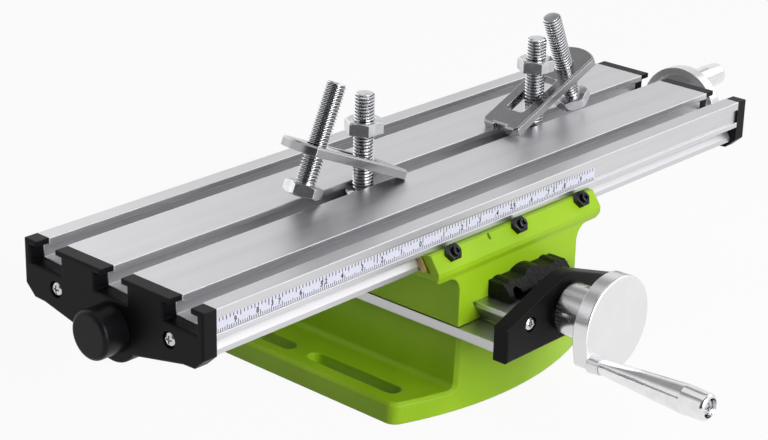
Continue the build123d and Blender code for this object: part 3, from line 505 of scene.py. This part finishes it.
dress(cast_green, "base_casting", "saddle_casting")
dress(deck_aluminium, "table_extrusion")
dress(rail_aluminium, "y_rail")
dress(moulded_black, "y_front_cap", "y_rear_cap", "left_end_cap", "right_end_cap")
dress(glossy_black, "x_screw_cover", "y_screw_cover")
dress(guard_rubber, "dust_guard")
dress(zinc_steel, "y_front_cap_screws", "y_rear_cap_screws")
dress(black_steel, "guard_screws", "y_rail_screws")
dress(tape_white, "scale_tape")
for drive in ("x", "y"):
    dress(brass, drive + "_gib", drive + "_nut", drive + "_near_bush", drive + "_far_bush")
    dress(black_steel, drive + "_gib_screws", drive + "_gib_lock_nuts")
    dress(black_steel, drive + "_dial_grub", drive + "_nut_screws")
    dress(screw_steel, drive + "_lead_screw")
    dress(dial_metal[drive], drive + "_dial")
    dress(wheel_metal[drive], drive + "_handwheel")
    dress(zinc_steel, drive + "_crank_pin")
    dress(grip_chrome, drive + "_grip")
for side in ("left", "right"):
    dress(zinc_steel, side + "_cap_screws")
    dress(zinc_steel, side + "_clamp_bolt", side + "_clamp_nut", side + "_jack_bolt")
    dress(strap_steel, side + "_clamp_strap")
left_out = sorted(set(nodes) - set(dressed))
print("dressed", len(dressed), "pieces; left out:", left_out)

# %% [markdown]
# ## Meshes from rings
# Screws, bolts and ticks are easiest to build from plain lists: a list of points, and a list of
# faces that name points by number. "Shape" collects both, and a number for each face that says
# which material it wears, so that several simple forms can be joined into one piece and placed
# together with one matrix.

# %% Shape: points and faces
class Shape:
    def __init__(self):
        self.points = []
        self.faces = []
        self.coats = []

    def add(self, points, faces, coat=0):
        """Append faces; coat is the number of the material that they get."""
        start = len(self.points)
        self.points += [Vector(p) for p in points]
        self.faces += [tuple(start + i for i in face) for face in faces]
        self.coats += [coat] * len(faces)

    def lathe(self, profile, sides=48):
        """Turn (radius, height) pairs round z; the first and last are closed with a flat end."""
        count = len(profile)
        points = []
        for side in range(sides):
            turn = 2 * math.pi * side / sides
            points += [(r * math.cos(turn), r * math.sin(turn), z) for r, z in profile]
        faces = []
        for side in range(sides):
            a, b = side * count, (side + 1) % sides * count
            faces += [(a + i, b + i, b + i + 1, a + i + 1) for i in range(count - 1)]
        faces.append([side * count for side in reversed(range(sides))])
        faces.append([side * count + count - 1 for side in range(sides)])
        self.add(points, faces)

    def piece(self, name, matrix, materials, body, sharp=35):
        """Make the mesh and let it ride on a body; edges above sharp degrees stay crisp."""
        mesh = bpy.data.meshes.new(name)
        mesh.from_pydata([matrix @ p * mm for p in self.points], [], self.faces)
        for material in materials:
            mesh.materials.append(material)
        mesh.polygons.foreach_set("material_index", self.coats)
        mesh.validate()
        mesh.shade_smooth()
        mesh.set_sharp_from_angle(angle=math.radians(sharp))
        made = bpy.data.objects.new(name, mesh)
        bpy.context.scene.collection.objects.link(made)
        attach(made, body)
        return made


# %% [markdown]
# ## Screw threads
# A thread is a ridge that climbs one pitch in every turn. Its outline over one pitch is seven
# points: the valley's floor, half way up the flank, the two corners of the crest, half way down,
# and the floor again. Step by step round the screw the outline climbs, and the end of one turn
# meets the start of the next, so the whole thread is one surface. Close to each end the crest is
# held down to the root, which gives the usual bevelled start. The valley's faces may wear a
# second, darker material, dirt and painted shade: at the size of a photo, a thread is read by its
# dark lines.

# %% Thread surface
def thread(shape, start, length, pitch, root, crest, sides=28, lead_in=1.0, coat=0, valley=0):
    """A thread from start to start + length; coat and valley number its two materials."""
    flank = (root + crest) / 2
    outline = [(0.00, root), (0.09, root), (0.26, flank), (0.43, crest)]
    outline += [(0.58, crest), (0.75, flank), (0.92, root)]
    count = len(outline)
    steps = int(math.ceil(length / pitch + 1)) * sides
    points = []
    for step in range(steps + 1):
        turn = 2 * math.pi * step / sides
        for share, radius in outline:
            height = min(max((step / sides - 1 + share) * pitch, 0.0), length)
            near_end = min(height, length - height)
            held = min(radius, root + near_end * lead_in)
            points.append((held * math.cos(turn), held * math.sin(turn), start + height))
    ridge, floor = [], []
    for step in range(steps):
        a, b = step * count, (step + 1) * count
        floor += [(a + i, b + i, b + i + 1, a + i + 1) for i in (0, 1, count - 2)]
        ridge += [(a + i, b + i, b + i + 1, a + i + 1) for i in range(2, count - 2)]
        if step + sides + 1 <= steps:
            c, d = (step + sides) * count, (step + sides + 1) * count
            floor.append((a + count - 1, b + count - 1, d, c))
    first = len(shape.points)
    shape.add(points, ridge, coat)
    shape.faces += [tuple(first + i for i in face) for face in floor]
    shape.coats += [valley] * len(floor)


print("thread outline ready")

# %% [markdown]
# ## Lead screws
# Under each slide a long screw turns in a bush at both ends and drives a nut. On the real machine
# it is a bar with a rolled 2 mm thread between two collars, turned down at the ends to carry the
# dial and handwheel. The CAD bar is smooth, so this piece stands for it with the thread cut in,
# and its two ends are measured on the CAD bar so that it is just as long.

# %% Lead screws
def frame_at(origin, axis, forward_hint):
    z = Vector(axis).normalized()
    x = Vector(forward_hint)
    x = (x - z * x.dot(z)).normalized()
    turn = Matrix((x, z.cross(x), z)).transposed().to_4x4()
    return Matrix.Translation(Vector(origin)) @ turn


def span_along(node, origin, axis):
    """Lowest and highest point of a CAD node along an axis, in mm from the origin."""
    reaches = [(v.co / mm - Vector(origin)).dot(Vector(axis)) for v in nodes[node].data.vertices]
    return min(reaches), max(reaches)


collar, journal, root = 5.6, 4.0, 3.85
collar_width, bevel, tip_bevel = 2.5, 0.3, 0.6
tail_length, wall_gap = 6.7, 0.3
lead_pitch, lead_crest = 2.0, 5.0


def lead_screw(name, origin, axis, hint, wall):
    """The screw of one drive; origin is its cap's outer face and wall is the cap's thickness."""
    tip, outer = span_along(name + "_lead_screw", origin, axis)
    far, near = tip + wall + tail_length, -wall - wall_gap
    start, end = far + collar_width, near - collar_width
    shape = Shape()
    shape.lathe([
        (journal - tip_bevel, tip), (journal, tip + tip_bevel), (journal, far),
        (collar - bevel, far), (collar, far + bevel), (collar, start - bevel),
        (collar - bevel, start), (root, start), (root, end), (collar - bevel, end),
        (collar, end + bevel), (collar, near - bevel), (collar - bevel, near), (journal, near),
        (journal, outer - tip_bevel), (journal - tip_bevel, outer),
    ])
    thread(shape, start, end - start, lead_pitch, root + 0.02, lead_crest, lead_in=0.8)
    turned = frame_at(origin, axis, hint)
    body = name + "_screw"
    made = shape.piece(name + "_threaded_screw", turned, [screw_steel], body)
    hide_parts(name + "_lead_screw")
    return made


x_screw = lead_screw("x", (155.0, x_screw_y, x_screw_z), (1, 0, 0), (0, 1, 0), 6.0)
y_screw = lead_screw("y", (0.0, -89.6, y_screw_z), (0, -1, 0), (1, 0, 0), 6.2)
print("lead screws:", len(x_screw.data.polygons), "and", len(y_screw.data.polygons), "faces")

# %% [markdown]
# ## Clamp bolts and jack bolts
# Each clamp has a hexagon bolt whose head slides in the T-slot, and a second one that stands
# upside down as a jack under the strap's tail. A real bolt head is a hexagon whose top corners
# were turned off at 30 degrees, which leaves the arcs on its six flats. Here each point of the
# hexagon's rim drops with its distance beyond the turned circle, and the arcs appear by
# themselves. The thread's ridges wear a brighter zinc, a painted highlight, and its valleys a dark
# metal, dirt and painted shade, so each bolt wears three metals.

# %% Hexagon head
def hexagon_reach(turn, across):
    """Distance from the middle to the hexagon's side, with a corner on x."""
    from_flat = (turn % (math.pi / 3)) - math.pi / 6
    return across / 2 / math.cos(from_flat)


chamfer_share = 0.95
chamfer_slope = math.tan(math.radians(30))


def hexagon_head(shape, across, low, high, sides=96):
    flat = across / 2 * chamfer_share
    rings = []
    for side in range(sides):
        turn = 2 * math.pi * side / sides
        reach = hexagon_reach(turn, across)
        drop = (reach - flat) * chamfer_slope
        column = [(flat, low), (reach, low + drop), (reach, high - drop), (flat, high)]
        rings += [(r * math.cos(turn), r * math.sin(turn), z) for r, z in column]
    faces = []
    for side in range(sides):
        a, b = side * 4, (side + 1) % sides * 4
        faces += [(a + i, b + i, b + i + 1, a + i + 1) for i in range(3)]
    faces.append([side * 4 for side in reversed(range(sides))])
    faces.append([side * 4 + 3 for side in range(sides)])
    shape.add(rings, faces)


# %% Threaded bolts in place of the smooth ones
joints = {joint["name"]: joint for joint in frame["joints"]}
head_across, head_height = 13.0, 4.8
bolt_pitch, bolt_root, bolt_crest = 1.25, 3.20, 3.92
# Plain zinc, the ridges' painted highlight, and the valleys' dirt and painted shade.
bolt_coats = [zinc_steel, thread_ridge_highlight_zinc, thread_valley_dirt_and_shade]


def bolt(node, origin, axis, hint, body, twist=0.0):
    origin, axis = Vector(origin), Vector(axis).normalized()
    hint = Matrix.Rotation(math.radians(twist), 3, axis) @ Vector(hint)
    low, high = span_along(node, origin, axis)
    shape = Shape()
    start = low + head_height
    hexagon_head(shape, head_across, low, start)
    core = [(bolt_root, start - 0.1), (bolt_root, high - 0.02), (bolt_root - 0.2, high)]
    shape.lathe(core, 40)
    length = high - start - 0.05
    thread(shape, start, length, bolt_pitch, bolt_root, bolt_crest, 32, 1.2, coat=1, valley=2)
    turned = frame_at(origin, axis, hint)
    made = shape.piece(node + "_threaded", turned, bolt_coats, body)
    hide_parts(node)
    return made


clamp_turn = {"left": -3.0, "right": 178.2}
clamp_x = {"left": -32.5, "right": 68.0}
slot_y = -16.4
jack_twist = 18.0
for side in ("left", "right"):
    turn = math.radians(clamp_turn[side])
    hint = (math.cos(turn), math.sin(turn), 0)
    bolt(side + "_clamp_bolt", (clamp_x[side], slot_y, 0), (0, 0, 1), hint, side + "_bolt")
    jack = joints[side + "_jack_turn"]
    foot = Vector(jack["pos_m"]) / mm
    made = bolt(side + "_jack_bolt", foot, jack["axis"], hint, side + "_jack", jack_twist)
    print(made.name, len(made.data.polygons), "faces")

# %% [markdown]
# ## Marks on the scale tape
# The tape is 200 mm long with its zero in the middle. Along the bottom edge it has a line every
# millimetre, longer at five and ten, with the centimetres numbered outward from zero. Along the
# top edge it has sixteenths of an inch, numbered the same way. Each line is a thin box that stands
# a few hundredths proud of the tape, because printed ink would be too thin to see or to export.

# %% Ticks
box_faces = [(4, 5, 6, 7), (0, 3, 2, 1), (0, 1, 5, 4), (1, 2, 6, 5), (2, 3, 7, 6), (3, 0, 4, 7)]
ink_proud = 0.02


def tick(shape, x, low, high, width, y):
    a, b = x - width / 2, x + width / 2
    front, back = y - ink_proud, y + ink_proud
    points = [(a, back, low), (b, back, low), (b, back, high), (a, back, high)]
    points += [(a, front, low), (b, front, low), (b, front, high), (a, front, high)]
    shape.add(points, box_faces)


def tick_length(count, lengths, shortest):
    """The length of the coarsest division that count falls on."""
    for division, length in lengths:
        if count % division == 0:
            return length
    return shortest


tape_low, tape_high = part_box("scale_tape")
tape_front = tape_low.y / mm
bottom, top = tape_low.z / mm, tape_high.z / mm
zero = (tape_low.x + tape_high.x) / 2 / mm
inch = 25.4
mm_foot, mm_width = bottom + 0.12, 0.30
inch_head, inch_width = top - 0.3, 0.36
printing = Shape()
for count in range(-99, 100):
    length = tick_length(count, ((10, 2.1), (5, 1.6)), 1.1)
    tick(printing, zero + count, mm_foot, mm_foot + length, mm_width, tape_front)
for count in range(-62, 63):
    length = tick_length(count, ((16, 2.5), (8, 1.9), (4, 1.6)), 1.25)
    tick(printing, zero + count * inch / 16, inch_head - length, inch_head, inch_width, tape_front)
print("zero at", round(zero, 1), "mm;", len(printing.faces) // len(box_faces), "lines")

# %% [markdown]
# ## Numerals
# Blender's text objects already know how to draw digits, so each number is written as text,
# turned into a mesh once, and its points are copied into the same shape as the lines. The curve's
# offset thickens the strokes, as small printed digits are bold. The text lies in its own flat
# plane, so a small function says where that plane stands on the object.

# %% Write a number into a shape
digit_share = 0.72  # a digit's height as a share of the font's size


def write(shape, text, height, put, narrow=0.8, bold=0.10):
    """Adds the text, centred; put turns (across, up, out) in mm into a point."""
    curve = bpy.data.curves.new("numeral", "FONT")
    curve.body = text
    curve.size = height / digit_share
    curve.align_x = "CENTER"
    curve.extrude = ink_proud
    curve.offset = bold
    curve.resolution_u = 3
    holder = bpy.data.objects.new("numeral", curve)
    mesh = bpy.data.meshes.new_from_object(holder)
    points = [put(v.co.x * narrow, v.co.y - height / 2, v.co.z) for v in mesh.vertices]
    shape.add(points, [tuple(p.vertices) for p in mesh.polygons])
    bpy.data.objects.remove(holder)
    bpy.data.curves.remove(curve)
    bpy.data.meshes.remove(mesh)


def tape_spot(x, z):
    return lambda across, high, out: (x + across, tape_front - out, z + high)


cm_digits, cm_aside, cm_level = 2.1, 1.3, bottom + 2.55
inch_digits, inch_aside, inch_level = 1.9, 1.6, top - 2.5
for count in range(-9, 10):
    side = 1 if count > 0 else -1
    spot = tape_spot(zero + 10 * count + cm_aside * side, cm_level)
    write(printing, str(abs(count)), cm_digits, spot)
for count in (-3, -2, -1, 1, 2, 3):
    side = -1 if count > 0 else 1
    spot = tape_spot(zero + inch * count + inch_aside * side, inch_level)
    write(printing, str(abs(count)), inch_digits, spot)
unmoved = Matrix.Identity(4)
tape_marks = printing.piece("scale_tape_marks", unmoved, [ink_black], "table")
print(tape_marks.name, len(tape_marks.data.polygons), "faces")

# %% [markdown]
# ## Dial graduations
# One turn of a screw moves its slide 2 mm, so forty lines round the dial read twentieths of a
# millimetre. The lines start at the dial's inner rim, every fifth is longer, and every tenth has
# its number. They are bent onto the dial by giving each point an angle and a distance along it.
# The numbers keep clear of the grub screw, which sits nearer to the handwheel. A mark is a thin
# plate that stands a hundredth of a millimetre proud, which reads just like the shallow cut.

# %% Wrap marks round a dial
dial_radius = 10.0
dial_lines = 40
line_start, line_width = 1.9, 0.18
number_middle, number_height = 8.2, 2.1
proud, sunk = 0.015, 0.04


def wrapped(turn, along, out=0.0):
    reach = dial_radius + proud + out
    return (reach * math.cos(turn), reach * math.sin(turn), along)


def dial_marks(name, origin, axis, zero_direction):
    shape = Shape()
    sign = 1 if axis[0] else -1
    half = line_width / 2 / dial_radius
    for count in range(dial_lines):
        turn = 2 * math.pi * count / dial_lines
        end = line_start + tick_length(count, ((10, 3.8), (5, 3.0)), 1.9)
        corners = [(turn - half, line_start), (turn + half, line_start)]
        corners += [(turn + half, end), (turn - half, end)]
        points = [wrapped(t, a, -sunk) for t, a in corners] + [wrapped(t, a) for t, a in corners]
        shape.add(points, box_faces)
        if count % 10 == 0:
            def put(across, high, out):
                return wrapped(turn - sign * high / dial_radius, number_middle + across, out)

            write(shape, str(count), number_height, put, narrow=0.85, bold=0.05)
    place_on = frame_at(origin, axis, zero_direction)
    body = name + "_screw"
    return shape.piece(name + "_dial_marks", place_on, [engraving], body, 60)


zero_tilt = math.radians(4)
level, lift = -math.cos(zero_tilt), math.sin(zero_tilt)
y_marks = dial_marks("y", (0, -89.65, y_screw_z), (0, -1, 0), (level, 0, lift))
x_marks = dial_marks("x", (155.05, x_screw_y, x_screw_z), (1, 0, 0), (0, level, lift))
print("dial marks:", len(y_marks.data.polygons), "faces each")

# %% [markdown]
# ## Floor, sky and lamps
# The object stands on a plain pale floor under a plain pale sky. A Light Path node tells who
# looks: the camera and mirrors see a white floor that keeps a little of the object's shade, while
# the light that it throws back is that of a plain grey card. The sky adds almost no light.
# In bright metal it is mirrored as white near the horizon, darker overhead, and dark in one fixed
# corner of the studio, on the side that the photo was taken from, because a metal with only white
# round it looks flat. Broad weak lamps then do the work: the key lamp low in front, one high on
# the right for the edges, one overhead and one behind.

# %% Floor
def light_path(finish, kind):
    return finish.node("ShaderNodeLightPath", {}, {}, kind)


def floor_finish():
    finish = Finish("studio_floor")
    cloud = noise(finish, place(finish), scale=0.004, detail=2.0)
    seen = light_path(finish, "Is Camera Ray") + light_path(finish, "Is Glossy Ray")
    glow = finish.node("ShaderNodeEmission", {}, {"Color": (1.0, 1.0, 1.0), "Strength": 1.0})
    lit = Wire(finish, finish.shader.outputs[0])
    both = finish.node("ShaderNodeMixShader", {}, {0: seen * 0.92, 1: lit, 2: glow})
    finish.tree.links.new(both.socket, finish.tree.nodes["Material Output"].inputs["Surface"])
    card = (0.32, 0.32, 0.32)
    white = mix(finish, cloud, (0.93, 0.93, 0.93), (0.95, 0.95, 0.95))
    return finish.surface(Base_Color=mix(finish, seen, card, white), Roughness=0.85)


half_floor = 6.0
floor_gap = 0.0002
corner_signs = ((-1, -1), (1, -1), (1, 1), (-1, 1))
floor_mesh = bpy.data.meshes.new("studio_floor")
floor_corners = [(half_floor * x, half_floor * y, 0) for x, y in corner_signs]
floor_mesh.from_pydata(floor_corners, [], [(0, 1, 2, 3)])
floor_mesh.materials.append(floor_finish())
floor = bpy.data.objects.new("studio_floor", floor_mesh)
bpy.context.scene.collection.objects.link(floor)
floor.location.z = -floor_gap
print("floor", 2 * half_floor, "m square")

# %% Sky
def studio_sky():
    sky = Finish("studio_sky", bpy.data.worlds, "Background")
    direction = sky.node("ShaderNodeTexCoord", {}, {}, "Generated")
    dark_corner = dot(sky, direction, (-0.72, -0.66, 0.22)).between(0.55, 0.80)
    ceiling = share_of(sky, direction, "z").between(0.52, 0.80)
    mirrored = 0.95 - 0.62 * ceiling - 0.86 * dark_corner * (1 - 0.7 * ceiling)
    soft_fill = 0.07
    camera_ray = light_path(sky, "Is Camera Ray")
    glossy_ray = light_path(sky, "Is Glossy Ray")
    other = glossy_ray * mirrored + (1 - glossy_ray) * soft_fill
    return sky.surface(Color=(1.0, 1.0, 1.0), Strength=camera_ray + (1 - camera_ray) * other)


bpy.context.scene.world = studio_sky()
print("sky ready")

# %% Lamps
def lamp(name, at, aim, size, watts):
    data = bpy.data.lights.new(name, "AREA")
    data.shape = "DISK"
    data.size = size
    data.energy = watts
    made = bpy.data.objects.new(name, data)
    bpy.context.scene.collection.objects.link(made)
    made.location = at
    made.rotation_euler = (Vector(aim) - Vector(at)).to_track_quat("-Z", "Y").to_euler()
    return made


key_lamp = lamp("key_lamp", (-0.08, -1.60, 0.62), (0, 0, 0.04), size=1.5, watts=30.0)
edge_lamp = lamp("edge_lamp", (1.20, -0.65, 1.10), (0, 0, 0.06), size=1.6, watts=4.0)
top_lamp = lamp("top_lamp", (0.0, 0.1, 1.5), (0, 0, 0.05), size=1.4, watts=3.0)
rear_lamp = lamp("rear_lamp", (0.10, 1.80, 0.50), (0, 0, 0.05), size=2.6, watts=7.0)
print("lamps in watts:", [made.data.energy for made in (key_lamp, edge_lamp, top_lamp, rear_lamp)])

# %% [markdown]
# ## Finish
# The view transform is the plain one, so a colour shows about as it was written.

# %% View transform
bpy.context.scene.view_settings.view_transform = "Standard"
bpy.context.view_layer.update()
